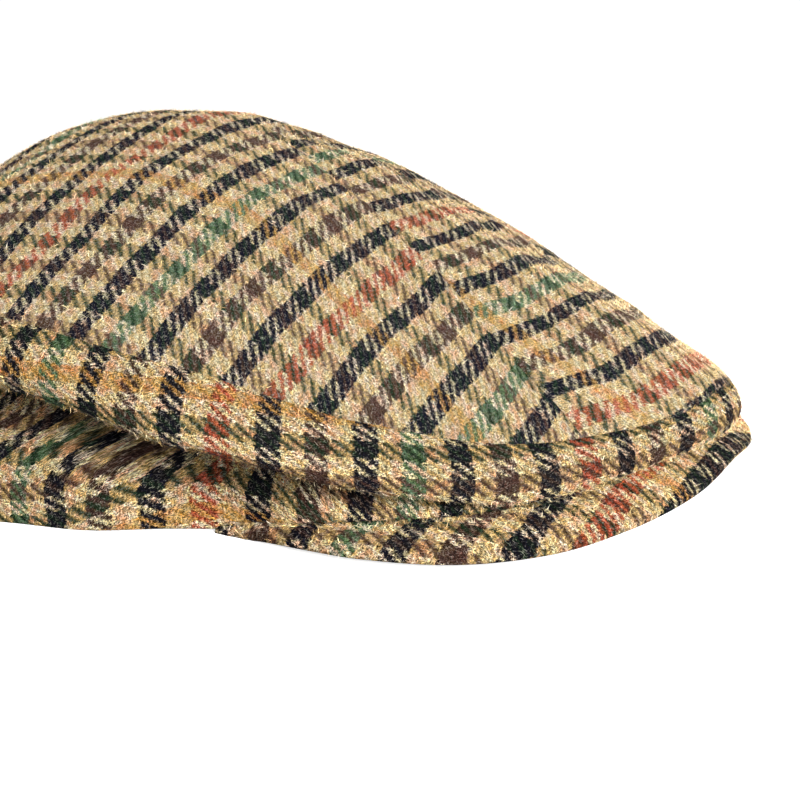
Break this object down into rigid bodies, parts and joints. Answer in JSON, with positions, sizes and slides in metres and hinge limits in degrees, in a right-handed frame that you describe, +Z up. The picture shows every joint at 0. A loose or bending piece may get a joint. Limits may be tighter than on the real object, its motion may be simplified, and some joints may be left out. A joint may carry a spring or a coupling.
{
  "type": "flat cap",
  "caption": "Soft flat cap in checked wool tweed, with a wedge-panelled crown that falls forward over an arched cloth peak, and an open hollow for the head.",
  "frame": {"origin": "on the surface the cap rests on, under the middle of its length and width", "axes": "+Z up, -Y towards the peak, +X towards the wearer's left"},
  "size_m": [0.2364, 0.2592, 0.0927],
  "materials": {
    "tweed": "napped woollen twill woven in a many-coloured shepherd's check"
  },
  "bodies": {
    "root": {"top_panel_centre": "tweed", "top_panel_right": "tweed", "top_panel_left": "tweed", "side_band_bulge": "tweed", "side_band_underside": "tweed", "side_band_flare": "tweed", "peak": "tweed"}
  },
  "joints": []
}
